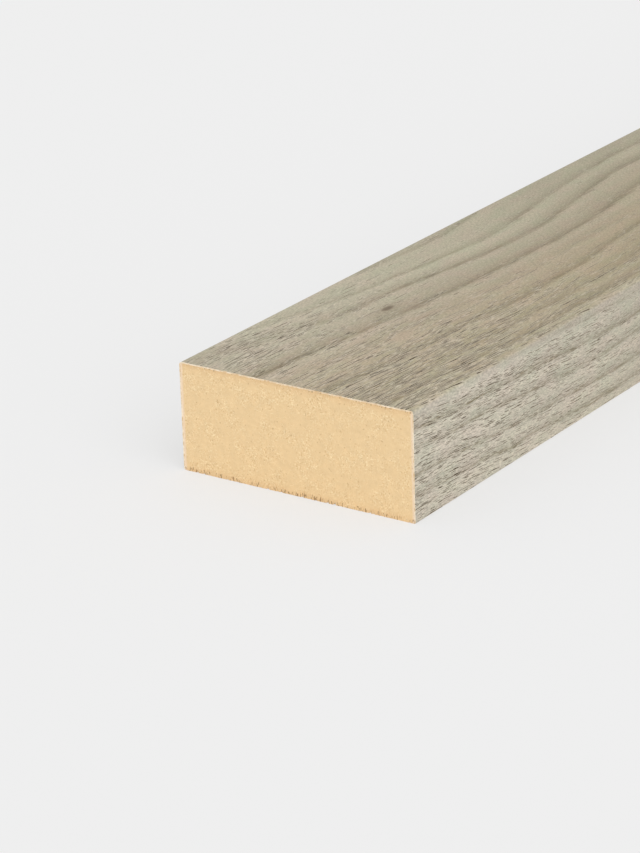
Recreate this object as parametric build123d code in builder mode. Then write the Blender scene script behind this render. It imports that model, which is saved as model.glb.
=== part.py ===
"""Edge trim strip for a wall panel: an MDF batten with a wood-decor foil folded over its face and long edges."""

import os

from build123d import *

# The finished strip, foil included, in millimetres
strip_width = 50.0
strip_thickness = 21.0
strip_length = 2400.0

# The decor foil: its gauge, the radius it turns over the arrises, and how far it is trimmed short of the back
foil_thickness = 0.25
foil_arris_radius = 0.6
foil_trim = 0.15

# The core is what the foil leaves: its face and edges lie one foil thickness inside the finished strip
core_width = strip_width - 2 * foil_thickness
core_thickness = strip_thickness - foil_thickness
core_arris_radius = foil_arris_radius - foil_thickness

# The strip lies on its back, so the section stands on the floor line and runs both ways from the middle
section_plane = Plane.XZ
half_length = strip_length / 2
core_edge = core_width / 2

os.makedirs("parts", exist_ok=True)

# MDF core: square sawn back and ends, the two face arrises eased so that the foil can turn them
with BuildPart() as mdf_core:
    with BuildSketch(section_plane):
        Rectangle(core_width, core_thickness, align=(Align.CENTER, Align.MIN))
    extrude(amount=half_length, both=True)
    face_arrises = mdf_core.faces().sort_by(Axis.Z)[-1].edges().filter_by(Axis.Y)
    fillet(face_arrises, radius=core_arris_radius)
mdf_core.part.label = "mdf_core"
export_step(mdf_core.part, "parts/mdf_core.step")

# Decor foil: one sheet that follows the core up one edge, over the face and down the other edge.
# The fold line is the glued side of the foil, and its gauge is laid on outside that line.
with BuildPart() as decor_wrap:
    with BuildSketch(section_plane):
        with BuildLine():
            FilletPolyline(
                (-core_edge, foil_trim),
                (-core_edge, core_thickness),
                (core_edge, core_thickness),
                (core_edge, foil_trim),
                radius=core_arris_radius,
            )
            offset(amount=foil_thickness, side=Side.LEFT)
        make_face()
    extrude(amount=half_length, both=True)
decor_wrap.part.label = "decor_wrap"
export_step(decor_wrap.part, "parts/decor_wrap.step")
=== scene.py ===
"""Edge trim strip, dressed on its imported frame: an MDF batten with a printed decor foil folded round it."""

import math
from functools import partial
from types import SimpleNamespace

import bpy
from mathutils import Matrix, Vector


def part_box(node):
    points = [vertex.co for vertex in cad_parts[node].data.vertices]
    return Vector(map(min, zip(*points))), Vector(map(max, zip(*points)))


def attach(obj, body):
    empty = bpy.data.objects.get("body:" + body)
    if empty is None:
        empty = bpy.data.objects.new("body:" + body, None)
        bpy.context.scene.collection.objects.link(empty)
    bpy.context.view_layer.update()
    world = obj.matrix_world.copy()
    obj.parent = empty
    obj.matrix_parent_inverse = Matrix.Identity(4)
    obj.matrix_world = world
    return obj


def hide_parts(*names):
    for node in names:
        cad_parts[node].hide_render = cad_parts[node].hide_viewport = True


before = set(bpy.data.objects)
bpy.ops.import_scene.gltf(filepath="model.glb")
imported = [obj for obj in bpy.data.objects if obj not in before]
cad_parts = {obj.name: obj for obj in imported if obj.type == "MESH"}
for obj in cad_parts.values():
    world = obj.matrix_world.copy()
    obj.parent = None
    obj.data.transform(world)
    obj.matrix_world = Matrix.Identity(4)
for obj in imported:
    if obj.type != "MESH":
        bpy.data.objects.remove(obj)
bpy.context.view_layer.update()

MM = 0.001

# Sizes of the strip, read from the frame
core_low, core_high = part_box("mdf_core")
foil_low, foil_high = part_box("decor_wrap")
strip_length = core_high.y - core_low.y
core_width = core_high.x - core_low.x
core_thickness = core_high.z
foil_gauge = foil_high.z - core_high.z
foil_trim = foil_low.z
core_arris = 0.35 * MM

# Length between the rows of a long wall, and the last stretch before each cut, whose rows crowd towards it
body_step = 120 * MM
end_stretch = 120 * MM
end_rows = 12
body_rows = round((strip_length / 2 - end_stretch) / body_step)
crowding = 3.0

PRINT_MAP = "print"
BAKE_MAP = "OFBake"
TORN = "torn"
# The bake's map cuts the long faces in five, which gives about two pixels a millimetre
MAP_STRIPS = 5

# Kinds of node that come back all the time
MAP_RANGE = "ShaderNodeMapRange"
MIX = "ShaderNodeMix"
JOIN_XYZ = "ShaderNodeCombineXYZ"
SPLIT_XYZ = "ShaderNodeSeparateXYZ"
SPLIT_COLOUR = "ShaderNodeSeparateColor"
LATTICE = "ShaderNodeTexVoronoi"
SET_MATERIAL = "GeometryNodeSetMaterial"
SET_POSITION = "GeometryNodeSetPosition"
STORE = "GeometryNodeStoreNamedAttribute"

# Pairs that come back: a rise, a fall, and the window that holds most of a noise's values
RISE = (0.0, 1.0)
FALL = (1.0, 0.0)
MOST = (0.25, 0.75)
SMOOTH = {"interpolation_type": "SMOOTHSTEP"}

# The selection that takes in everything
ALL = True
# Settings that come back: a map's spots stored at the corners, and a value read at the middle of each face
ON_CORNERS = {"data_type": "FLOAT2", "domain": "CORNER"}
ON_FACES = {"data_type": "FLOAT", "domain": "FACE"}


def linear(hex_colour):
    """An sRGB hex colour as the linear RGBA that the nodes take."""
    channels = [int(hex_colour[start : start + 2], 16) / 255 for start in (1, 3, 5)]
    return tuple(c / 12.92 if c <= 0.04045 else ((c + 0.055) / 1.055) ** 2.4 for c in channels) + (1.0,)


def add_node(tree, kind, *operands, sockets=None, **settings):
    """Adds a node. A kind in capitals is an operation of the maths node, or of the vector one after VECTOR.

    Operands fill its inputs in order, and sockets by name. A node given as a value means its first output.
    """
    if kind.isupper():
        *vector, settings["operation"] = kind.split()
        kind = "ShaderNodeVectorMath" if vector else "ShaderNodeMath"
    made = tree.nodes.new(kind)
    for name, value in settings.items():
        setattr(made, name, value)
    live = [socket for socket in made.inputs if socket.enabled]
    by_name = {socket.name: socket for socket in reversed(live)}
    wanted = list(zip(live, operands))
    wanted += [(by_name[name], value) for name, value in (sockets or {}).items()]
    for socket, value in wanted:
        if isinstance(value, bpy.types.Node):
            value = next(output for output in value.outputs if output.enabled)
        if isinstance(value, bpy.types.NodeSocket):
            tree.links.new(value, socket)
        else:
            socket.default_value = value
    return made


def chain(add, value, *steps):
    """Takes a value through nodes one after another. Each step is a kind of node and its other operands."""
    for kind, *others in steps:
        value = add(kind, value, *others)
    return value


def combined(add, operation, first, *others):
    """Values combined by one operation, such as a product."""
    return chain(add, first, *((operation, other) for other in others))


def coated(add, colour, *coats):
    """A colour under coats of others. Each coat is its share and its tone."""
    for share, tone in coats:
        colour = add(MIX, share, colour, linear(tone), data_type="RGBA")
    return colour


def new_material(name):
    """An empty material, and what adds a node to it."""
    material = bpy.data.materials.new(name)
    material.use_nodes = True
    material.node_tree.nodes.clear()
    return material, partial(add_node, material.node_tree)


def surface(add, colour, roughness, ior=1.45, **others):
    """Closes a material with one principled shader."""
    sockets = {"Base Color": colour, "Roughness": roughness, "IOR": ior, **others}
    add("ShaderNodeOutputMaterial", add("ShaderNodeBsdfPrincipled", sockets=sockets))


def new_form(name, sizes):
    """A Geometry Nodes tree with an input for each size, what adds a node to it, and its inputs by name."""
    tree = bpy.data.node_groups.new(name, "GeometryNodeTree")
    for label, value in sizes.items():
        kind = "NodeSocketInt" if isinstance(value, int) else "NodeSocketFloat"
        tree.interface.new_socket(name=label, in_out="INPUT", socket_type=kind).default_value = value
    tree.interface.new_socket(name="Geometry", in_out="OUTPUT", socket_type="NodeSocketGeometry")
    inputs = tree.nodes.new("NodeGroupInput").outputs
    form = SimpleNamespace(**{label.lower().replace(" ", "_"): inputs[label] for label in sizes})
    return tree, partial(add_node, tree), form


def placed(name, data):
    """An object with that data, linked to the scene."""
    made = bpy.data.objects.new(name, data)
    bpy.context.scene.collection.objects.link(made)
    return made


def grow(name, tree, sizes):
    """Runs a tree with those sizes on an empty object and keeps the result as a plain mesh."""
    sharpest_smooth_turn = math.radians(35)
    piece = placed(name, bpy.data.meshes.new(name))
    modifier = piece.modifiers.new("form", "NODES")
    modifier.node_group = tree
    for item in tree.interface.items_tree:
        if item.in_out == "INPUT":
            modifier[item.identifier] = sizes[item.name]
    depsgraph = bpy.context.evaluated_depsgraph_get()
    grown = bpy.data.meshes.new_from_object(
        piece.evaluated_get(depsgraph), preserve_all_data_layers=True, depsgraph=depsgraph
    )
    piece.modifiers.remove(modifier)
    piece.data = grown
    grown.name = name
    grown.shade_smooth()
    grown.set_sharp_from_angle(angle=sharpest_smooth_turn)
    return piece


def in_cells(add, place, size):
    """A place counted in cells of that size, in two or three numbers."""
    gains = [1 / part for part in size] + [0.0] * (3 - len(size))
    return add("VECTOR MULTIPLY", place, gains)


def blobs(add, place, size, detail=1.0, window=RISE, values=RISE):
    """Noise with blobs of that size, the same all ways if it is one number, and a window of it spread."""
    size = size if isinstance(size, tuple) else (size, size, size)
    sockets = {"Vector": in_cells(add, place, size), "Scale": 1.0, "Detail": detail}
    noise = add("ShaderNodeTexNoise", noise_dimensions=f"{len(size)}D", sockets=sockets)
    return add(MAP_RANGE, noise, *window, *values)


def ellipse(add, place, centre, half_sizes):
    """How far a place lies from a centre: 0 there, 1 on the ellipse with those half sizes."""
    offset = chain(add, place, ("VECTOR SUBTRACT", (*centre, 0)), ("VECTOR DIVIDE", (*half_sizes, 1)))
    return add("VECTOR LENGTH", offset).outputs["Value"]


# Printed decor foil. The print is walnut drawn on paper: growth rings that bow across the width, fine fibre
# streaks, and short dark pores. Its sizes are millimetres on the unfolded sheet, across from the left arris
# and along from the near cut. A pair is a size, a window, or what a value is worth at a window's two ends.

# Growth rings: place across the sheet at the middle of their bow, and how dark their late wood is printed
ladder_low, ladder_high = -21.0, 80.0
ladder_span = ladder_high - ladder_low
ring_depths = {
    -17.5: 0.7,
    -12.8: 1.0,
    -8.6: 0.8,
    -4.4: 0.9,
    2.4: 0.5,
    10.6: 0.75,
    16.2: 0.85,
    23.4: 0.9,
    29.0: 0.2,
    36.0: 0.8,
    42.8: 0.45,
    47.2: 0.9,
    50.8: 0.3,
    55.4: 1.0,
    59.2: 0.8,
    64.0: 0.85,
    68.0: 0.9,
    73.6: 0.7,
}
# Ground tones of the print between the rings. From the right arris on they are paler and greyer: partly the
# print, partly painted light, the side face lit cooler and brighter than the top
print_and_side_light_tones = {
    -20.0: "#b7af9b",
    2.0: "#b4ac95",
    12.0: "#b7af97",
    19.0: "#b0a58d",
    25.0: "#b0a289",
    31.0: "#b0a186",
    35.5: "#ac9d80",
    41.0: "#aa9c7e",
    49.1: "#aea285",
    49.6: "#b4ad9d",
    50.3: "#b9b2a2",
    59.0: "#bcb5a5",
    68.0: "#bdb6a6",
}
# How thickly the pores are printed between the rings
pore_crowding = {
    -20.0: 0.9,
    -2.0: 0.8,
    3.0: 0.33,
    20.0: 0.3,
    30.0: 0.4,
    36.0: 0.78,
    47.0: 0.78,
    52.0: 0.9,
    72.0: 0.8,
}
late_wood = "#5e4d1c"
early_wood = "#c9bfa8"
pore_tone = "#362300"
# Painted highlight: the pale tone of the glints on the pores' pressed-in rims and of the specks between them
painted_highlight_tone = "#dcd2bf"
knot_tone = "#5c4628"
# The print's tints as gains on the linear ground tones
pinkish = (1.035, 0.99, 1.015)
greenish = (0.965, 1.01, 0.985)
browned = (1.0, 0.985, 0.93)

# The rings bow about this distance from the near cut
bow_middle = 88.0
# Windows across the sheet: beside the right arris, and over the arris itself
beside_arris = (46.0, 51.0)
over_arris = (49.0, 50.5)
# Window along it, over which the pores lose the crispness that they have at the near cut
off_near_cut = (30.0, 100.0)

# The two sizes of pore: its cell across and along, half its width and half its length
pore_sizes = ((0.34, 2.8, 0.055, 0.9), (0.6, 7.0, 0.062, 2.4))


def ladder_ramp(add, place, stops, interpolation="LINEAR"):
    """A ramp over the sheet's width, whose stops are given in millimetres across."""
    ramp = add("ShaderNodeValToRGB", place)
    band = ramp.color_ramp
    band.interpolation = interpolation
    while len(band.elements) < len(stops):
        band.elements.new(0.5)
    for element, (across, colour) in zip(band.elements, sorted(stops.items())):
        element.position = (across - ladder_low) / ladder_span
        element.color = colour
    return ramp


def ring_course(add, sheet, across, along):
    """Where each spot lies on the ladder: across, moved by the ripple, the swing and the bow of the rings."""
    # They ripple a little everywhere, and wander once they are well away from the near cut
    wander_size, wander_window, wander_reach = (90, 420), (180.0, 420.0), 36.0
    ripple_size, ripple_reach = (9, 26), 0.9
    wander = add("SUBTRACT", blobs(add, sheet, wander_size), 0.5)
    reach = add(MAP_RANGE, along, *wander_window, 0.0, wander_reach)
    ripple = blobs(add, sheet, ripple_size, values=(-ripple_reach, ripple_reach))
    drift = add("MULTIPLY_ADD", wander, reach, ripple)
    drifted = add("ADD", across, drift)

    # Past the middle of the bow they swing back: on the left a little and one after the other, on the right
    # far and together, the middle ones first
    right_period, right_reach = 260, 13.0
    lead_window, lead = (40.0, 54.0), 28.0
    left_lag, left_window, left_reach = -1.2, (72.0, 132.0), 5.2
    left_to_right = (24.0, 36.0)
    past = add("SUBTRACT", along, bow_middle)
    sooner = add(MAP_RANGE, across, *lead_window, lead, 0.0, **SMOOTH)
    right_swing = chain(
        add,
        past,
        ("ADD", sooner),
        ("MAXIMUM", 0.0),
        ("MULTIPLY", math.tau / right_period),
        ("COSINE",),
        (MAP_RANGE, 1.0, -1.0, 0.0, right_reach),
    )
    in_turn = add("MULTIPLY_ADD", across, left_lag, along)
    left_swing = add(MAP_RANGE, in_turn, *left_window, 0.0, left_reach, **SMOOTH)
    right_share = add(MAP_RANGE, across, *left_to_right, *RISE, **SMOOTH)
    swing = add(MIX, right_share, left_swing, right_swing)
    swung = add("ADD", drifted, swing)

    # They bend round the pin knot, and flatten a little at the cut: middle, half sizes and shift of each bend
    knot_bend = ((15.0, 60.0), (14.0, 30.0), 1.5)
    cut_bend = ((16.5, 0.0), (7.0, 10.0), -0.9)
    for centre, half_sizes, shift in (knot_bend, cut_bend):
        bend = ellipse(add, sheet, centre, half_sizes)
        bend = add(MAP_RANGE, bend, *RISE, shift, 0.0, **SMOOTH)
        swung = add("ADD", swung, bend)

    # Before the middle each ring bows by its own amount, those on the left most, and so again further along
    bow_step, bow_pause = math.tau / 440, 120.0
    bow_limit, bow_softness = 1.25, 0.4
    bow_fade, left_bow, least_bow = 17, 13.2, 2.6
    rounds = 3
    ahead = add("MINIMUM", past, 0.0)
    again = add("SUBTRACT", past, bow_pause)
    phase = chain(add, ahead, ("MAXIMUM", again), ("MULTIPLY", bow_step), ("COSINE",))
    bow_share = add(MAP_RANGE, phase, 1.0, math.cos(bow_middle * bow_step), *RISE, clamp=False)
    bow_share = add("SMOOTH_MIN", bow_share, bow_limit, bow_softness)
    back_share = add("SUBTRACT", 1.0, bow_share)
    at_cut = swung
    for _ in range(rounds):
        bow = add("MAXIMUM", at_cut, 0.0)
        bow = add("MULTIPLY", bow, -1 / bow_fade)
        bow = add("EXPONENT", bow)
        bow = add("MULTIPLY_ADD", bow, left_bow, least_bow)
        step = add("MULTIPLY", bow, back_share)
        at_cut = add("SUBTRACT", swung, step)
    return add("MULTIPLY_ADD", bow, bow_share, swung)


def nearest_ring(add, ladder, ladder_mm):
    """How far a spot lies past its nearest ring, in millimetres, and how dark that ring is printed."""
    # The ramp gives the ring's place on the ladder, then how dark it is
    zones = {}
    zone_start = ladder_low
    places = sorted(ring_depths)
    for place, following in zip(places, places[1:] + [2 * ladder_high - places[-1]]):
        zones[zone_start] = ((place - ladder_low) / ladder_span, ring_depths[place], 0.0, 1.0)
        zone_start = (place + following) / 2
    nearest = ladder_ramp(add, ladder, zones, "CONSTANT")
    ring_at, depth, _ = add(SPLIT_COLOUR, nearest).outputs
    ring_at = add("MULTIPLY", ring_at, ladder_span)
    return add("SUBTRACT", ladder_mm, ring_at), depth


def read_sheet(add):
    """What the print's patterns go by at each spot of the sheet."""
    at = SimpleNamespace()
    sheet = add("ShaderNodeUVMap", uv_map=PRINT_MAP)
    at.sheet = in_cells(add, sheet, (MM, MM))
    at.across, at.along, _ = add(SPLIT_XYZ, at.sheet).outputs
    rings = ring_course(add, at.sheet, at.across, at.along)
    at.ring_place = add(JOIN_XYZ, rings, at.along)

    # Past either end of the ladder the rings are met again in reverse
    ladder_mm = chain(add, rings, ("SUBTRACT", ladder_low), ("PINGPONG", ladder_span))
    at.ladder = add("DIVIDE", ladder_mm, ladder_span)

    # A ring's edges are feathered along the fibres
    feather_size, feather_reach = (0.55, 9), 0.35
    off_ring, at.ring_depth = nearest_ring(add, at.ladder, ladder_mm)
    feather = blobs(add, at.sheet, feather_size, 1.0, MOST, (-feather_reach, feather_reach))
    at.off_ring = add("ADD", off_ring, feather)
    at.line_gap = add("ABSOLUTE", at.off_ring)

    # Fibres and pores turn with the rings near the cut, most so on the right. Elsewhere they run straighter
    follow_window, near_follow = (20.0, 45.0), (0.3, 1.0)
    far_window, far_follow = (70.0, 150.0), 0.2
    follow = add(MAP_RANGE, at.across, *follow_window, *near_follow)
    follow = add(MAP_RANGE, at.along, *far_window, follow, far_follow)
    grain = add(MIX, follow, at.across, rings)
    at.grain_place = add(JOIN_XYZ, grain, at.along)

    # Tone and openness change slowly along the strip: 1 at the near cut, -1 half a turn on
    length_period = 300
    turn = add("MULTIPLY", at.along, math.tau / length_period)
    at.turn = add("COSINE", turn)

    # Open grain shows more of its fibres and pores. It closes along the strip, less so on the right edge
    closed_shares = (0.35, 0.55)
    crowds = {place: (share, share, share, 1.0) for place, share in pore_crowding.items()}
    closed_share = add(MAP_RANGE, at.across, *beside_arris, *closed_shares)
    openness = add(MAP_RANGE, at.turn, *RISE, closed_share, 1.0)
    at.openness = add("MULTIPLY", ladder_ramp(add, at.ladder, crowds), openness)
    return at


def late_wood_share(add, at):
    """How far late wood covers the ground: the fade up to a ring, its line, and the line's heart."""
    # One ring is printed bold for some millimetres at the near cut
    bold_centre, bold_half_sizes = (17.2, 9.0), (4.0, 14.0)
    bold_window, boldest = (0.5, 1.0), 0.8
    bold = ellipse(add, at.sheet, bold_centre, bold_half_sizes)
    bold = add(MAP_RANGE, bold, *bold_window, boldest, 0.0)

    # Late wood darkens over three millimetres up to a ring's line
    fade_in, fade_out, fade_most = (-3.0, -0.1), (0.1, 0.9), 0.27
    fade = add(MAP_RANGE, at.off_ring, *fade_in, 0.0, fade_most, **SMOOTH)
    fade_end = add(MAP_RANGE, at.off_ring, *fade_out, *FALL, **SMOOTH)
    fade = add("MULTIPLY", fade, fade_end)

    # The line is soft and patchy, and finer on the right edge
    line_reaches, line_shares = (0.9, 0.6), (0.28, 0.24)
    patch_size, patch_window, patch_values = (7, 14), (0.38, 0.62), (0.25, 1.0)
    line_reach = add(MAP_RANGE, at.across, *beside_arris, *line_reaches)
    line = add(MAP_RANGE, at.line_gap, 0.0, line_reach, *FALL, **SMOOTH)
    patch = blobs(add, at.ring_place, patch_size, 2.0, patch_window, patch_values)
    patch = add("MAXIMUM", patch, bold)
    line = add("MULTIPLY", line, patch)
    line_share = add(MAP_RANGE, at.across, *beside_arris, *line_shares)
    late = add("MULTIPLY_ADD", line, line_share, fade)

    # Its heart is a fine broken line, crisper on the right edge and near the cut
    heart_window, heart_most = (0.05, 0.28), 0.42
    break_size, break_window = (2.0, 5), (0.42, 0.6)
    crisp_values, soft_window, soft_values = (0.4, 1.0), (40.0, 100.0), (1.0, 0.4)
    heart = add(MAP_RANGE, at.line_gap, *heart_window, *FALL, **SMOOTH)
    broken = blobs(add, at.ring_place, break_size, 2.0, break_window)
    broken = add("MAXIMUM", broken, bold)
    crisp = chain(add, at.across, (MAP_RANGE, *beside_arris, *crisp_values), ("MAXIMUM", bold))
    softer = add(MAP_RANGE, at.along, *soft_window, *soft_values)
    heart = combined(add, "MULTIPLY", heart, broken, crisp, softer)
    late = add("MULTIPLY_ADD", heart, heart_most, late)

    # The rings are printed faintly at the left corner of the cut
    faintest, faint_across, faint_along = 0.35, (5.0, 14.5), (20.0, 60.0)
    clear_across = add(MAP_RANGE, at.across, *faint_across, faintest, 1.0)
    clear_along = add(MAP_RANGE, at.along, *faint_along, faintest, 1.0)
    clear = add("MAXIMUM", clear_across, clear_along)
    return add("MULTIPLY", late, clear)


def ringed_ground(add, at):
    """The ground's tones with the rings drawn on them."""
    # The tones go with the rings, but near the right arris and beyond it with the sheet
    sheet_window = (36.0, 46.0)
    by_sheet = add(MAP_RANGE, at.across, *sheet_window, *RISE)
    across_share = add(MAP_RANGE, at.across, ladder_low, ladder_high, *RISE)
    tone_place = add(MIX, by_sheet, at.ladder, across_share)
    # Beyond the right arris these tones hold the side face's painted light
    ground = ladder_ramp(add, tone_place, {place: linear(tone) for place, tone in print_and_side_light_tones.items()})

    # Beyond a ring's line the early wood starts pale
    early_in, early_out, early_most = (0.5, 1.6), (1.6, 4.0), 0.25
    early = add(MAP_RANGE, at.off_ring, *early_in, *RISE, **SMOOTH)
    early_end = add(MAP_RANGE, at.off_ring, *early_out, early_most, 0.0, **SMOOTH)
    early = combined(add, "MULTIPLY", early, early_end, at.ring_depth)
    late = add("MULTIPLY", late_wood_share(add, at), at.ring_depth)
    return coated(add, ground, (late, late_wood), (early, early_wood))


def fibre_toned(add, at, colour):
    """The colour under the print's fibre streaks and broad shading, tinted and browned in stretches."""
    # Faint pinkish and greenish stretches of a few millimetres
    tint_size, tint_window = (3, 7), (0.3, 0.7)
    tint = blobs(add, at.grain_place, tint_size, 2.0, tint_window)
    tint = add(MIX, tint, greenish, pinkish, data_type="VECTOR")
    tinted = add("VECTOR MULTIPLY", colour, tint)

    # Fibre streaks a quarter of a millimetre across, which show in open grain, and short grit of that width
    streak_size, streak_depth = (0.24, 3.0), 0.09
    grit_size, grit_gains = (0.2, 0.7), (0.835, 1.165)
    streak = blobs(add, at.grain_place, streak_size, 0.0, MOST, (-streak_depth, streak_depth))
    tone = add("MULTIPLY_ADD", streak, at.openness, 1.0)
    grit = blobs(add, at.grain_place, grit_size, 0.0, MOST, grit_gains)

    # Softer strands, mottling along the rings, and broad shading
    strand_size, strand_gains = (0.8, 16), (0.975, 1.025)
    mottle_size, shade_size, shade_window, soft_gains = (4, 18), (30, 170), (0.3, 0.7), (0.96, 1.04)
    length_gains = (1.02, 0.84)
    strand = blobs(add, at.grain_place, strand_size, 2.0, MOST, strand_gains)
    mottle = blobs(add, at.ring_place, mottle_size, 2.0, MOST, soft_gains)
    shade = blobs(add, at.ring_place, shade_size, 1.0, shade_window, soft_gains)
    length_shade = add(MAP_RANGE, at.turn, 1.0, -1.0, *length_gains)
    tone = combined(add, "MULTIPLY", tone, mottle, grit, strand, shade, length_shade)
    toned = add("VECTOR SCALE", tinted, tone)
    warmed = add("VECTOR MULTIPLY", toned, browned)
    warmth = add(MAP_RANGE, at.turn, 1.0, -1.0, *RISE)
    return add(MIX, warmth, toned, warmed, data_type="RGBA")


def pore_room(add, at):
    """The print's room for pores. Each cell of a lattice has a lot, and its pore shows where that is less."""
    clump_size, clump_window, clump_gains = (1.6, 6), (0.38, 0.62), (0.65, 1.15)
    room = blobs(add, at.grain_place, clump_size, 1.0, clump_window, clump_gains)
    room = add("MULTIPLY", room, at.openness)

    # A few more stand on a ring's line, and many at the left corner of the cut
    line_window, line_more = (0.4, 1.2), 0.08
    corner, corner_half_sizes, corner_window, corner_more = (8.0, 14.0), (9.0, 16.0), (0.4, 1.0), 0.4
    at_line = add(MAP_RANGE, at.line_gap, *line_window, line_more, 0.0)
    at_corner = ellipse(add, at.sheet, corner, corner_half_sizes)
    at_corner = add(MAP_RANGE, at_corner, *corner_window, corner_more, 0.0)
    room = combined(add, "ADD", room, at_line, at_corner)

    # None stands on an arris
    half_face, bare_window = 25.0, (0.5, 0.9)
    off_middle = chain(add, at.across, ("SUBTRACT", half_face), ("ABSOLUTE",))
    to_arris = chain(add, off_middle, ("SUBTRACT", half_face), ("ABSOLUTE",))
    flat_here = add(MAP_RANGE, to_arris, *bare_window, *RISE)
    return add("MULTIPLY", room, flat_here)


def printed_pores(add, at):
    """How dark the pores are, and the painted highlights: pale lips where the pores' pressed-in rims catch
    the light, and pale specks between them.
    """
    # Pores are broader and longer on the face than on the right edge, and longest towards that edge
    face_squeeze, edge_squeeze = 0.76, 0.95
    length_window, length_squeezes = (10.0, 40.0), (0.78, 0.6)
    squeeze_across = add(MAP_RANGE, at.across, *over_arris, face_squeeze, edge_squeeze)
    squeeze_along = add(MAP_RANGE, at.across, *length_window, *length_squeezes)
    squeeze_along = add(MAP_RANGE, at.across, *over_arris, squeeze_along, 1.0)
    squeeze = add(JOIN_XYZ, squeeze_across, squeeze_along)

    # One dash to each cell of a stretched lattice, with a lip round it: a painted highlight on its pressed-in
    # rim
    rim, highlight_rim, rim_highlight_shares = (0.85, 1.05), (1.1, 2.4), (0.65, 0.4)
    lot_window, depths = (0.0, 0.12), (0.6, 1.0)
    room = pore_room(add, at)
    rim_highlight_share = add(MAP_RANGE, at.along, *off_near_cut, *rim_highlight_shares)
    pores, rim_highlights = 0.0, 0.0
    for cell_width, cell_length, half_width, half_length in pore_sizes:
        cells = in_cells(add, at.grain_place, (cell_width, cell_length))
        lattice = add(LATTICE, voronoi_dimensions="2D", sockets={"Vector": cells, "Scale": 1.0})
        offset = add("VECTOR SUBTRACT", cells, lattice.outputs["Position"])
        reach = (cell_width / half_width, cell_length / half_length, 0)
        offset = combined(add, "VECTOR MULTIPLY", offset, reach, squeeze)
        offset = add("VECTOR LENGTH", offset).outputs["Value"]
        lot, depth, _ = add(SPLIT_COLOUR, lattice.outputs["Color"]).outputs
        shown = chain(add, room, ("SUBTRACT", lot), (MAP_RANGE, *lot_window, *RISE))
        depth = add(MAP_RANGE, depth, *RISE, *depths)
        shown = add("MULTIPLY", shown, depth)
        pores = chain(add, offset, (MAP_RANGE, *rim, *FALL), ("MULTIPLY", shown), ("MAXIMUM", pores))
        rim_highlight = add(MAP_RANGE, offset, *highlight_rim, rim_highlight_share, 0.0)
        rim_highlights = chain(add, rim_highlight, ("MULTIPLY", shown), ("MAXIMUM", rim_highlights))

    # Pale specks, partly print and partly painted glints on the embossing, on a lattice of their own, where
    # the room and the lot together are great enough
    speck_cell, speck_shift = (0.42, 5.0), (0.37, 0.61, 0)
    speck_rim, speck_most, speck_room = (0.11, 0.16), 0.45, 0.6
    cells = add("VECTOR ADD", in_cells(add, at.grain_place, speck_cell), speck_shift)
    lattice = add(LATTICE, voronoi_dimensions="2D", sockets={"Vector": cells, "Scale": 1.0})
    speck = add(MAP_RANGE, lattice.outputs["Distance"], *speck_rim, speck_most, 0.0)
    lot, _, _ = add(SPLIT_COLOUR, lattice.outputs["Color"]).outputs
    shown = chain(add, room, ("MULTIPLY_ADD", speck_room, lot), ("GREATER_THAN", 1.0))
    speck = add("MULTIPLY", speck, shown)
    return pores, add("MAXIMUM", speck, rim_highlights)


def printed_foil():
    """Paper foil printed in walnut and sealed with a matt lacquer: low even sheen, pores pressed in."""
    material, add = new_material("printed_decor_foil")
    at = read_sheet(add)
    colour = fibre_toned(add, at, ringed_ground(add, at))
    pore, pale = printed_pores(add, at)
    pore_shares = (1.0, 0.7)
    pore_share = add(MAP_RANGE, at.along, *off_near_cut, *pore_shares)
    pore_share = add("MULTIPLY", pore, pore_share)

    # One pin knot with a faint halo
    knot_centre, knot_half_sizes = (16.8, 42.5), (1.1, 2.6)
    halo_window, halo_most = (0.8, 2.6), 0.2
    knot_window, knot_most = (0.3, 1.1), 0.8
    knot_gap = ellipse(add, at.sheet, knot_centre, knot_half_sizes)
    halo = add(MAP_RANGE, knot_gap, *halo_window, halo_most, 0.0, **SMOOTH)
    knot = add(MAP_RANGE, knot_gap, *knot_window, knot_most, 0.0, **SMOOTH)
    knot = add("MAXIMUM", knot, halo)
    # The pale lips and specks go on as painted highlights, before the pores and the knot
    colour = coated(add, colour, (pale, painted_highlight_tone), (pore_share, pore_tone), (knot, knot_tone))

    # The pores are pressed in, and too narrow to shine
    full_sheen, pore_depth, pore_relief = 0.5, 0.03 * MM, 0.5
    height = add("SUBTRACT", 1.0, pore)
    sheen = add("MULTIPLY", height, full_sheen)
    bump = add("ShaderNodeBump", sockets={"Strength": pore_relief, "Distance": pore_depth, "Height": height})
    surface(add, colour, roughness=0.52, ior=1.5, Normal=bump, **{"Specular IOR Level": sheen})
    return material


def object_mm(add):
    """The place on the object in millimetres."""
    return in_cells(add, add("ShaderNodeTexCoord").outputs["Object"], (MM, MM, MM))


def foil_cut_edge():
    """The paper body of the foil where the saw or the trimming knife opens it: pale, dry, faintly fibrous."""
    fuzz_size, dust_size, pale_window = 0.8, 3.5, (0.8, 1.15)
    glue_stained, clean_paper = "#d8b98c", "#f3e4cc"
    material, add = new_material("foil_paper_cut_edge")
    place = object_mm(add)
    fuzz = blobs(add, place, fuzz_size, 3.0)
    dust = blobs(add, place, dust_size, 2.0)
    share = chain(add, fuzz, ("ADD", dust), (MAP_RANGE, *pale_window, *RISE))
    surface(add, coated(add, linear(glue_stained), (share, clean_paper)), roughness=0.85)
    return material


# Tones of the sawn board
board_middle = "#e9cb9c"
pressed_face = "#deb686"
# Crumb and hollow tones: the fibres' own colour, with painted light on raised crumbs and painted shade in
# hollows
crumb_with_painted_light = "#fae6bd"
hollow_with_painted_shade = "#cda672"
# Rim tone: browning on the lowest millimetre, and painted shadow below the foil
rim_brown_and_shadow = "#c8a070"
glue_soaked = "#f2dcc6"
bark = "#a87d4c"
scorched = "#84613c"
# Painted shade for the tear-out recesses
painted_tear_out_shade = "#c69a6b"
loose_thread = "#f4e0b8"


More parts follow.
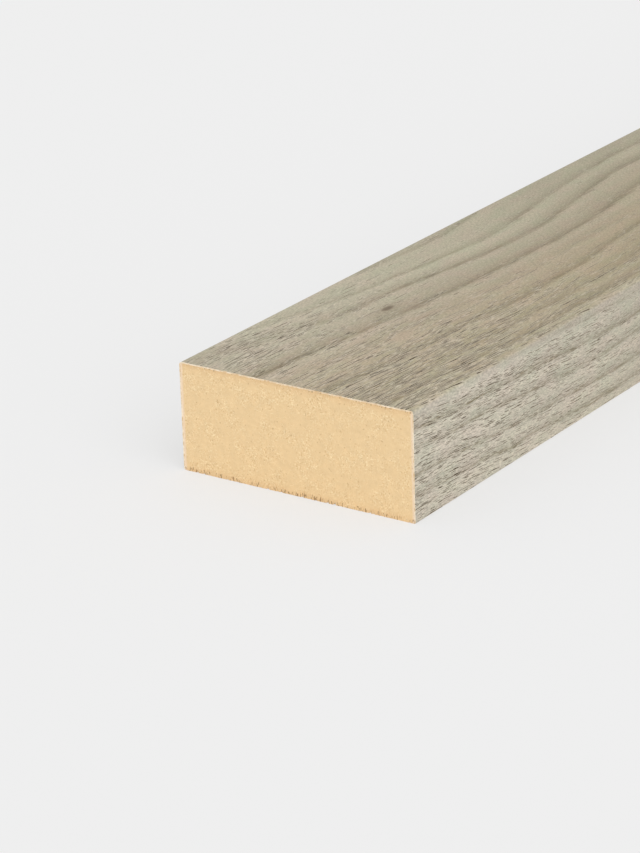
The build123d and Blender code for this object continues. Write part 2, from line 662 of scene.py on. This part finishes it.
def sawn_mdf():
    """MDF across a saw cut: softwood fibres pressed with resin, straw pale, matt and flecked."""
    material, add = new_material("mdf_sawn")
    place = object_mm(add)
    sideways, _, level = add(SPLIT_XYZ, place).outputs
    top = core_thickness / MM
    half_width = core_width / MM / 2

    # The pressed faces of the board are denser and a little darker than its middle
    dense_depth, dense_most = 1.6, 0.35
    off_middle = chain(add, level, ("SUBTRACT", top / 2), ("ABSOLUTE",))
    dense = add(MAP_RANGE, off_middle, top / 2 - dense_depth, top / 2, 0.0, dense_most)

    # Cut fibre bundles: pale crumbs and dark hollows of a quarter of a millimetre, crowded in some patches.
    # They follow the bump's height: the fibres' own flecks, with painted light on the raised crumbs and
    # painted shade in the hollows
    crumb_size, crumb_window, crumb_most = 0.27, (0.58, 0.72), 0.75
    hollow_window, hollow_most = (0.4, 0.26), 0.6
    patch_size, patch_window, patch_values = 4, (0.42, 0.6), (0.15, 1.0)
    crumb = blobs(add, place, crumb_size, 0.5)
    patch = blobs(add, place, patch_size, 2.0, patch_window, patch_values)
    pale = chain(add, crumb, (MAP_RANGE, *crumb_window, 0.0, crumb_most), ("MULTIPLY", patch))
    hollow = chain(add, crumb, (MAP_RANGE, *hollow_window, 0.0, hollow_most), ("MULTIPLY", patch))
    coats = ((dense, pressed_face), (pale, crumb_with_painted_light), (hollow, hollow_with_painted_shade))
    colour = coated(add, linear(board_middle), *coats)
    clump_size, clump_gains = 1.6, (0.957, 1.043)
    clump = blobs(add, place, clump_size, 2.0, MOST, clump_gains)
    colour = add("VECTOR SCALE", colour, clump)

    # Both rims are a little browner, in patches: the lowest millimetre, and below the foil a painted shadow
    # line
    low_window, low_most = (0.0, 1.0), 0.2
    high_window, high_most = (top - 0.85, top - 0.15), 0.22
    smoke_size, smoke_window, smoke_values = 5, (0.35, 0.6), (0.2, 1.0)
    rim_darkening = add(MAP_RANGE, level, *low_window, low_most, 0.0)
    painted_shadow_under_foil = add(MAP_RANGE, level, *high_window, 0.0, high_most)
    rim_darkening = add("MAXIMUM", rim_darkening, painted_shadow_under_foil)
    smoke = blobs(add, place, smoke_size, 2.0, smoke_window, smoke_values)
    rim_darkening = add("MULTIPLY", rim_darkening, smoke)

    # Glue that soaked into the long edges under the foil leaves them pale and pinkish
    glue_window, glue_most = (half_width - 0.5, half_width - 0.15), 0.7
    to_edge = add("ABSOLUTE", sideways)
    glued = add(MAP_RANGE, to_edge, *glue_window, 0.0, glue_most)

    # Bark: sparse dark flecks all over
    bark_size, bark_window, bark_most = 0.45, (0.78, 0.84), 0.35
    barky = blobs(add, place, bark_size, 0.0, bark_window, (0.0, bark_most))

    # Scorched fibre: dark upright flecks in groups, which stand in the crumbled rims of the cut
    low_rim_window, high_rim_window, high_rim_most = (0.5, 1.5), (top - 0.55, top - 0.15), 0.8
    group_size, group_window, group_values = 2.2, (0.4, 0.6), (0.08, -0.03)
    bars = (0.85, 0.52)
    scorch_size, scorch_window, scorch_most = (0.26, 0.26, 1.1), (0.0, 0.07), 0.7
    low_rim = add(MAP_RANGE, level, *low_rim_window, *FALL)
    high_rim = add(MAP_RANGE, level, *high_rim_window, 0.0, high_rim_most)
    rim = add("MAXIMUM", low_rim, high_rim)
    group = blobs(add, place, group_size, 1.0, group_window, group_values)
    bar = chain(add, rim, (MAP_RANGE, *RISE, *bars), ("ADD", group))
    scorch = add("SUBTRACT", blobs(add, place, scorch_size), bar)
    scorch = add(MAP_RANGE, scorch, *scorch_window, 0.0, scorch_most)

    # Where the saw tore the fibres out, the hollows are a darker, brownish orange: painted shade in the
    # tear-out recesses
    torn_window, torn_most = (0.3, 0.9), 0.5
    torn = add("ShaderNodeAttribute", attribute_name=TORN)
    torn = add(MAP_RANGE, torn.outputs["Fac"], *torn_window, 0.0, torn_most)
    marks = ((rim_darkening, rim_brown_and_shadow), (glued, glue_soaked), (barky, bark), (scorch, scorched), (torn, painted_tear_out_shade))
    colour = coated(add, colour, *marks)
    bump = add("ShaderNodeBump", sockets={"Strength": 0.4, "Distance": 0.05 * MM, "Height": crumb})
    surface(add, colour, roughness=0.9, Normal=bump)
    return material


def sanded_mdf():
    """MDF's pressed face, sanded to gauge: tan and smooth, with cloudy mottling and fine sanding lines."""
    cloud_size, cloud_window = 7, (0.35, 0.65)
    dark_cloud, pale_cloud = "#d2ae83", "#dab98f"
    fibre_size, line_size = 0.8, (0.5, 60, 0.5)
    grain_window, grain_gains = (0.7, 1.3), (0.92, 1.08)
    material, add = new_material("mdf_sanded")
    place = object_mm(add)
    cloud = blobs(add, place, cloud_size, 4.0, cloud_window)
    ground = coated(add, linear(dark_cloud), (cloud, pale_cloud))
    grain = blobs(add, place, fibre_size, 3.0)
    grain = add("ADD", grain, blobs(add, place, line_size, 2.0))
    grain = add(MAP_RANGE, grain, *grain_window, *grain_gains)
    colour = add("VECTOR SCALE", ground, grain)
    bump = add("ShaderNodeBump", sockets={"Strength": 0.3, "Distance": 0.03 * MM, "Height": grain})
    surface(add, colour, roughness=0.75, Normal=bump)
    return material


def loose_fibre():
    """Single bundles of softwood fibre that the saw left hanging: pale, dry and dull."""
    material, add = new_material("mdf_loose_fibre")
    surface(add, linear(loose_thread), roughness=0.95)
    return material


decor = printed_foil()
cut_paper = foil_cut_edge()
sawn = sawn_mdf()
sanded = sanded_mdf()
loose = loose_fibre()

# What the two long pieces share: their rows along the strip, and the core's section
shared_inputs = {
    "Body rows": body_rows,
    "Body step": body_step,
    "End rows": end_rows,
    "End stretch": end_stretch,
    "Crowding": crowding,
    "Core width": core_width,
    "Core thickness": core_thickness,
    "Core arris": core_arris,
}


def row_count(add, form):
    """The number of rows from one end of a long piece to the other."""
    half_rows = add("ADD", form.body_rows, form.end_rows)
    return add("MULTIPLY", half_rows, 2.0)


def row_places(add, row, form):
    """A row's distance from the middle, its end, its place from the near cut, and half the strip's length.

    Rows are even in the body and crowd towards each cut.
    """
    count = add("ABSOLUTE", row)
    body = chain(add, count, ("MINIMUM", form.body_rows), ("MULTIPLY", form.body_step))
    last = chain(add, count, ("SUBTRACT", form.body_rows), ("DIVIDE", form.end_rows), ("ShaderNodeClamp",))
    last = chain(add, 1.0, ("SUBTRACT", last), ("POWER", form.crowding))
    last = add("SUBTRACT", 1.0, last)
    distance = add("MULTIPLY_ADD", last, form.end_stretch, body)
    end = add("SIGN", row)
    half_length = add("MULTIPLY_ADD", form.body_rows, form.body_step, form.end_stretch)
    return distance, end, add("MULTIPLY_ADD", distance, end, half_length), half_length


def faces_where(add, part, operation="GREATER_THAN", limit=0.5):
    """1 on the faces whose normal has a part past the limit, 0 on the others."""
    passed = add(operation, part, limit)
    return add("GeometryNodeFieldOnDomain", passed, **ON_FACES)


def face_parts(add):
    """Masks of a long box's faces: both edges, both ends, the top and the bottom."""
    sideways, lengthwise, up = add(SPLIT_XYZ, add("GeometryNodeInputNormal")).outputs
    edges = faces_where(add, add("ABSOLUTE", sideways))
    ends = faces_where(add, add("ABSOLUTE", lengthwise))
    return edges, ends, faces_where(add, up), faces_where(add, up, "LESS_THAN", -0.5)


def lay_out(add, geometry, islands):
    """Stores the bake's map. Each island is (mask, u, v), and the masks never meet."""
    spot = (0.0, 0.0, 0.0)
    for mask, u, v in islands:
        island = add(JOIN_XYZ, u, v)
        island = add("VECTOR SCALE", island, mask)
        spot = add("VECTOR ADD", island, spot)
    return add(STORE, geometry, ALL, BAKE_MAP, spot, **ON_CORNERS)


def strips(add, sheet_along, sheet_share, low, high):
    """The strip's length cut in MAP_STRIPS, laid side by side from low to high: places along and across."""
    margins = (0.04, 0.96)
    step = strip_length / MAP_STRIPS
    strip = add("GeometryNodeFieldOnDomain", sheet_along, **ON_FACES)
    strip = chain(add, strip, ("DIVIDE", step), ("FLOOR",))
    along = chain(add, sheet_along, ("DIVIDE", step), ("SUBTRACT", strip))
    across = chain(add, sheet_share, (MAP_RANGE, *RISE, *margins), ("ADD", strip))
    return along, add(MAP_RANGE, across, 0.0, float(MAP_STRIPS), low, high)


def folded_foil():
    """The tree of the decor foil: a flat sheet with a gauge, its columns folded over the core's section."""
    sizes = {
        "Face columns": 64,
        "Arris columns": 8,
        "Leg columns": 48,
        "Gauge": foil_gauge,
        "Trim": foil_trim,
        "Ragged depth": 0.14 * MM,
        **shared_inputs,
    }
    tree, add, form = new_form("folded_foil", sizes)

    # A box one gauge thick, with one unit of length for each column and row
    half_columns = combined(add, "ADD", form.face_columns, form.arris_columns, form.leg_columns)
    columns = add("MULTIPLY", half_columns, 2.0)
    rows = row_count(add, form)
    box_size = add(JOIN_XYZ, columns, rows, 1.0)
    column_ends = add("ADD", columns, 1.0)
    row_ends = add("ADD", rows, 1.0)
    box = add("GeometryNodeMeshCube", box_size, column_ends, row_ends, 2)
    column, row, layer = add(SPLIT_XYZ, add("GeometryNodeInputPosition")).outputs

    # Printed side out, the rest shows the paper
    is_trim, is_cut, is_print, is_glued = face_parts(add)
    sheet = add(SET_MATERIAL, box, ALL, cut_paper)
    sheet = add(SET_MATERIAL, sheet, is_print, decor)

    # Distances across the sheet: half the face, the turn of the arris, then the leg
    half_width = add("MULTIPLY", form.core_width, 0.5)
    half_face = add("SUBTRACT", half_width, form.core_arris)
    leg_length = combined(add, "SUBTRACT", form.core_thickness, form.core_arris, form.trim)
    count = add("ABSOLUTE", column)
    side = add("SIGN", column)
    flat = chain(add, count, ("DIVIDE", form.face_columns), ("MINIMUM", 1.0), ("MULTIPLY", half_face))
    angle = chain(
        add,
        count,
        ("SUBTRACT", form.face_columns),
        ("DIVIDE", form.arris_columns),
        ("ShaderNodeClamp",),
        ("MULTIPLY", math.pi / 2),
    )
    leg = chain(add, half_columns, ("SUBTRACT", count), ("DIVIDE", form.leg_columns))
    leg = chain(add, 1.0, ("SUBTRACT", leg), ("ShaderNodeClamp",), ("MULTIPLY", leg_length))

    # The print lies on the unfolded sheet, across from the left arris and along from the near cut
    sheet_across = chain(
        add,
        angle,
        ("MULTIPLY_ADD", form.core_arris, flat),
        ("ADD", leg),
        ("MULTIPLY_ADD", side, half_width),
    )
    distance, end, sheet_along, half_length = row_places(add, row, form)
    print_spot = add(JOIN_XYZ, sheet_across, sheet_along)
    sheet = add(STORE, sheet, ALL, PRINT_MAP, print_spot, **ON_CORNERS)

    # The bake's map: the print in strips, thin bands for the glued side, the cut ends and the trimmed edges
    print_band, glued_band = (0.06, 0.99), (0.001, 0.008)
    edge_band, band_shift, cut_start, trim_start = 0.006, 0.004, 0.018, 0.036
    across_share = chain(add, columns, ("MULTIPLY_ADD", 0.5, column), ("DIVIDE", columns))
    along_share = add("MULTIPLY", half_length, 2.0)
    along_share = add("DIVIDE", sheet_along, along_share)
    layer_share = add("ADD", layer, 0.5)
    strip_along, strip_across = strips(add, sheet_along, across_share, *RISE)
    print_v = add(MAP_RANGE, strip_along, *RISE, *print_band)
    glued_v = add(MAP_RANGE, across_share, *RISE, *glued_band)
    cut_v = add("MULTIPLY_ADD", layer_share, edge_band, cut_start)
    cut_v = add("MULTIPLY_ADD", end, band_shift, cut_v)
    trim_v = add("MULTIPLY_ADD", layer_share, edge_band, trim_start)
    trim_v = add("MULTIPLY_ADD", side, band_shift, trim_v)
    islands = [
        (is_print, strip_across, print_v),
        (is_glued, along_share, glued_v),
        (is_cut, across_share, cut_v),
        (is_trim, along_share, trim_v),
    ]
    sheet = lay_out(add, sheet, islands)

    # The saw leaves the paper's cut edge slightly uneven, less so on the legs, with a chip here and there
    chip_size, chip_window, chip_run, leg_share = 0.7 * MM, (0.42, 0.8), 2.0 * MM, 0.3
    cut_line = add(JOIN_XYZ, sheet_across, end)
    pull = blobs(add, cut_line, chip_size, 2.0, chip_window)
    near_cut = chain(add, half_length, ("SUBTRACT", distance), (MAP_RANGE, 0.0, chip_run, *FALL))
    on_face = add(MAP_RANGE, angle, 0.0, math.pi / 2, 1.0, leg_share)
    pull = combined(add, "MULTIPLY", pull, near_cut, on_face, form.ragged_depth)
    distance = add("SUBTRACT", distance, pull)
    along = add("MULTIPLY", distance, end)

    # Folding: the outside of the sheet lies a gauge further out all the way round
    out = chain(add, layer, ("ADD", 0.5), ("MULTIPLY_ADD", form.gauge, form.core_arris))
    sine = add("SINE", angle)
    cosine = add("COSINE", angle)
    x = chain(add, out, ("MULTIPLY_ADD", sine, flat), ("MULTIPLY", side))
    z = add("MULTIPLY_ADD", out, cosine, form.core_thickness)
    z = combined(add, "SUBTRACT", z, form.core_arris, leg)
    folded = add(JOIN_XYZ, x, along, z)
    sheet = add(SET_POSITION, sheet, ALL, folded)
    add("NodeGroupOutput", sheet)
    return tree, sizes


def sawn_batten():
    """The tree of the MDF core: a grid box with eased face arrises and the saw's tear-out at both ends."""
    sizes = {
        "Columns": 198,
        "Levels": 84,
        "Lump depth": 0.1 * MM,
        "Tear depth": 0.3 * MM,
        "Tear height": 1.3 * MM,
        "Chip height": 0.14 * MM,
        **shared_inputs,
    }
    tree, add, form = new_form("sawn_batten", sizes)
    rows = row_count(add, form)
    box_size = add(JOIN_XYZ, form.core_width, rows, form.core_thickness)
    ends = [add("ADD", count, 1.0) for count in (form.columns, rows, form.levels)]
    box = add("GeometryNodeMeshCube", box_size, *ends)
    x, row, height = add(SPLIT_XYZ, add("GeometryNodeInputPosition")).outputs
    distance, end, sheet_along, half_length = row_places(add, row, form)
    is_edge, is_cut, is_face, is_back = face_parts(add)
    batten = add(SET_MATERIAL, box, ALL, sanded)
    batten = add(SET_MATERIAL, batten, is_cut, sawn)

    # The corner zone's square outline is drawn in to a quarter circle. A least reach keeps the share finite
    least_reach = 1e-9
    half_width = add("MULTIPLY", form.core_width, 0.5)
    half_thickness = add("MULTIPLY", form.core_thickness, 0.5)
    side = add("SIGN", x)
    x_size = add("ABSOLUTE", x)
    x_centre = add("SUBTRACT", half_width, form.core_arris)
    z_centre = add("SUBTRACT", half_thickness, form.core_arris)
    x_past = chain(add, x_size, ("SUBTRACT", x_centre), ("MAXIMUM", 0.0))
    z_past = chain(add, height, ("SUBTRACT", z_centre), ("MAXIMUM", 0.0))
    square = add("MAXIMUM", x_past, z_past)
    past = add(JOIN_XYZ, x_past, 0.0, z_past)
    reach = add("VECTOR LENGTH", past).outputs["Value"]
    reach = add("MAXIMUM", reach, least_reach)
    round_share = add("DIVIDE", square, reach)
    new_x = add("SUBTRACT", x_size, x_past)
    new_x = chain(add, x_past, ("MULTIPLY_ADD", round_share, new_x), ("MULTIPLY", side))
    z = add("SUBTRACT", height, z_past)
    z = chain(add, z_past, ("MULTIPLY_ADD", round_share, z), ("ADD", half_thickness))

    # Relief of the cut: lumps all over, and fibres pulled out along the lower arris where the saw left the
    # board, in some stretches more than in others
    lump_size, lump_window = 0.8 * MM, (0.3, 0.7)
    tear_size, tear_window = (0.75 * MM, 1.0, 2.4 * MM), (0.0, 0.16)
    stretch_size, stretch_window, bars = (6 * MM, 1.0, math.inf), (0.35, 0.65), (0.64, 0.48)
    place = add(JOIN_XYZ, new_x, end, z)
    lumps = blobs(add, place, lump_size, 2.0, lump_window)
    lumps = add("MULTIPLY", lumps, form.lump_depth)
    bar = blobs(add, place, stretch_size, 1.0, stretch_window, bars)
    tears = add("SUBTRACT", blobs(add, place, tear_size, 2.0), bar)
    tears = add(MAP_RANGE, tears, *tear_window, *RISE)
    low = add(MAP_RANGE, z, 0.0, form.tear_height, *FALL)
    torn = add("MULTIPLY", tears, low)
    relief = add("MULTIPLY_ADD", torn, form.tear_depth, lumps)

    # The bake's map: the two sawn ends large, the back in strips, thin bands for what the foil hides
    end_width, end_start, end_shift, end_band = 0.48, 0.26, 0.25, (0.79, 0.99)
    back_band, face_band, edge_band, edge_shift = (0.0, 0.53), (0.54, 0.64), (0.65, 0.7), 0.03
    x_share = chain(add, x, ("DIVIDE", form.core_width), ("ADD", 0.5))
    z_share = chain(add, height, ("DIVIDE", form.core_thickness), ("ADD", 0.5))
    end_u = add("MULTIPLY_ADD", x_share, end_width, end_start)
    end_u = add("MULTIPLY_ADD", end, end_shift, end_u)
    end_v = add(MAP_RANGE, z_share, *RISE, *end_band)
    strip_u, back_v = strips(add, sheet_along, x_share, *back_band)
    _, face_v = strips(add, sheet_along, x_share, *face_band)
    _, edge_v = strips(add, sheet_along, z_share, *edge_band)
    edge_v = chain(add, side, ("MULTIPLY_ADD", edge_shift, edge_v), ("ADD", edge_shift))
    islands = [
        (is_cut, end_u, end_v),
        (is_back, strip_u, back_v),
        (is_face, strip_u, face_v),
        (is_edge, strip_u, edge_v),
    ]
    batten = lay_out(add, batten, islands)

    # The relief draws the cut in, and chips come out of the lower arris itself
    relief_run, chip_reach = 3.0 * MM, 0.8 * MM
    near_cut = chain(add, half_length, ("SUBTRACT", distance), (MAP_RANGE, 0.0, relief_run, *FALL))
    pull = add("MULTIPLY", relief, near_cut)
    distance = add("SUBTRACT", distance, pull)
    along = add("MULTIPLY", distance, end)
    chip = add(MAP_RANGE, z, 0.0, chip_reach, *FALL)
    chip = combined(add, "MULTIPLY", chip, tears, near_cut)
    z = add("MULTIPLY_ADD", chip, form.chip_height, z)
    batten = add(STORE, batten, ALL, TORN, torn, data_type="FLOAT", domain="POINT")
    shaped = add(JOIN_XYZ, new_x, along, z)
    batten = add(SET_POSITION, batten, ALL, shaped)
    add("NodeGroupOutput", batten)
    return tree, sizes


def torn_fibres():
    """The tree of the loose fibres: bent threads strewn over both sawn ends, thickest at the lower arris."""
    sizes = {
        "Face fibres": 420,
        "Rim fibres": 260,
        "Thread length": 0.8 * MM,
        "Thread radius": 0.022 * MM,
        "Rim height": 1.1 * MM,
        "Inset": 0.035 * MM,
        "Margin": 0.5 * MM,
        "Core width": core_width,
        "Core thickness": core_thickness,
        "Half length": strip_length / 2,
    }
    tree, add, form = new_form("torn_fibres", sizes)

    # What each thread draws: the least and the most of it, and the seed
    draws = {
        "across": (-1.0, 1.0, 3),
        "up the face": (0.0, 1.0, 5),
        "up the rim": (0.0, 1.0, 7),
        "end": (-1.0, 1.0, 11),
        "turn on the face": (-math.pi / 2, math.pi / 2, 13),
        "turn at the rim": (-0.6, 0.6, 17),
        "size": (0.45, 1.3, 19),
    }
    drawn = {}
    for name, (least, most, seed) in draws.items():
        sockets = {"Min": least, "Max": most, "Seed": seed}
        drawn[name] = add("FunctionNodeRandomValue", data_type="FLOAT", sockets=sockets)

    # One thread, slightly bent, about its own middle
    sag_share, thread_steps, thread_sides = 0.22, 4, 3
    start = add("MULTIPLY", form.thread_length, -0.5)
    stop = add("MULTIPLY", form.thread_length, 0.5)
    sag = add("MULTIPLY", form.thread_length, sag_share)
    bends = ((0.0, 0.0, start), (sag, 0.0, 0.0), (0.0, 0.0, stop))
    points = [add(JOIN_XYZ, *bend) for bend in bends]
    thread = add("GeometryNodeCurveQuadraticBezier", thread_steps, *points)
    round_sockets = {"Resolution": thread_sides, "Radius": form.thread_radius}
    ring = add("GeometryNodeCurvePrimitiveCircle", sockets=round_sockets)
    thread = add("GeometryNodeCurveToMesh", thread, ring, sockets={"Fill Caps": True})

    # Where they lie: evenly over the face, and in a low band at the lower arris
    count = add("ADD", form.face_fibres, form.rim_fibres)
    index = add("GeometryNodeInputIndex")
    at_rim = add("GREATER_THAN", index, form.face_fibres)
    half_width = chain(add, form.core_width, ("MULTIPLY", 0.5), ("SUBTRACT", form.margin))
    x = add("MULTIPLY", drawn["across"], half_width)
    usable = add("MULTIPLY_ADD", form.margin, -2.0, form.core_thickness)
    over_face = add("MULTIPLY_ADD", drawn["up the face"], usable, form.margin)
    low = combined(add, "MULTIPLY", drawn["up the rim"], drawn["up the rim"], form.rim_height)
    z = add(MIX, at_rim, over_face, low)
    end = add("SIGN", drawn["end"])
    y = chain(add, form.half_length, ("SUBTRACT", form.inset), ("MULTIPLY", end))
    spots = add("GeometryNodePoints", count, add(JOIN_XYZ, x, y, z))

    # On the face they point anyhow, along the rim mostly down
    turn = add(MIX, at_rim, drawn["turn on the face"], drawn["turn at the rim"])
    turned = add(JOIN_XYZ, 0.0, turn, 0.0)
    strewn = {"Instance": thread, "Rotation": turned, "Scale": drawn["size"]}
    threads = add("GeometryNodeInstanceOnPoints", spots, sockets=strewn)
    threads = add("GeometryNodeRealizeInstances", threads)

    # Nothing passes below the back
    tx, ty, tz = add(SPLIT_XYZ, add("GeometryNodeInputPosition")).outputs
    tz = add("MAXIMUM", tz, form.thread_radius)
    kept = add(JOIN_XYZ, tx, ty, tz)
    threads = add(SET_POSITION, threads, ALL, kept)
    threads = add(SET_MATERIAL, threads, ALL, loose)
    add("NodeGroupOutput", threads)
    return tree, sizes


foil = grow("decor_foil", *folded_foil())
batten = grow("mdf_batten", *sawn_batten())
fibres = grow("mdf_fibres", *torn_fibres())

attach(foil, "root")
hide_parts("decor_wrap")
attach(batten, "root")
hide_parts("mdf_core")
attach(fibres, "root")


# Studio: a pale floor, an even surround and a broad lamp, set so that a colour facing up renders as written
backdrop_white = "#efefef"
surround_strength = 0.75
shadow_lift = 0.6


def studio_floor():
    """A wide pale floor under the strip. The camera sees it a little lighter than its shadow makes it."""
    half = 30.0
    corners = [(-half, -half, 0), (half, -half, 0), (half, half, 0), (-half, half, 0)]
    mesh = bpy.data.meshes.new("studio_floor")
    mesh.from_pydata(corners, [], [(0, 1, 2, 3)])
    floor = placed("studio_floor", mesh)
    material, add = new_material("studio_paper")
    paper = add("ShaderNodeBsdfDiffuse", linear(backdrop_white))
    glow = add("ShaderNodeEmission", linear(backdrop_white), 1.0)
    seen = add("ShaderNodeLightPath").outputs["Is Camera Ray"]
    lift = add("MULTIPLY", seen, shadow_lift)
    shader = add("ShaderNodeMixShader", lift, paper, glow)
    add("ShaderNodeOutputMaterial", shader)
    mesh.materials.append(material)


def studio_light():
    """The surround, and one broad lamp on the right."""
    white = (1.0, 1.0, 1.0, 1.0)
    world = bpy.data.worlds.new("studio_surround")
    bpy.context.scene.world = world
    world.use_nodes = True
    world.node_tree.nodes.clear()
    add = partial(add_node, world.node_tree)
    seen = add("ShaderNodeLightPath").outputs["Is Camera Ray"]
    evenly_lit = add("ShaderNodeBackground", white, surround_strength)
    pale = add("ShaderNodeBackground", linear(backdrop_white), 1.0)
    mixed = add("ShaderNodeMixShader", seen, evenly_lit, pale)
    add("ShaderNodeOutputWorld", mixed)

    towards_lamp = Vector((0.62, -0.52, 0.6))
    lamp = bpy.data.lights.new("right_soft_lamp", "SUN")
    lamp.energy = 1.3
    lamp.angle = math.radians(70)
    holder = placed("right_soft_lamp", lamp)
    holder.rotation_euler = towards_lamp.to_track_quat("Z", "Y").to_euler()


def studio_camera():
    """The photograph's viewpoint: from the right of the near cut, looking down along the strip."""
    eye_from_foot = Vector((308.72, -435.27, 222.86)) * MM
    azimuth, elevation, roll = math.radians(34.870), math.radians(21.449), math.radians(1.828)
    focal_pixels, sensor_mm, long_side_pixels = 3248.5, 36.0, 853
    lens = bpy.data.cameras.new("camera")
    lens.sensor_fit = "VERTICAL"
    lens.sensor_height = sensor_mm
    lens.lens = sensor_mm * focal_pixels / long_side_pixels
    lens.clip_start = 0.01
    lens.clip_end = 200.0
    camera = placed("camera", lens)
    turn = Matrix.Rotation(azimuth, 4, "Z")
    turn = turn @ Matrix.Rotation(math.pi / 2 - elevation, 4, "X")
    turn = turn @ Matrix.Rotation(-roll, 4, "Z")
    camera.matrix_world = Matrix.Translation(eye_from_foot + Vector((0, core_low.y, 0))) @ turn
    bpy.context.scene.camera = camera


studio_floor()
studio_light()
studio_camera()
bpy.context.scene.view_settings.view_transform = "Standard"
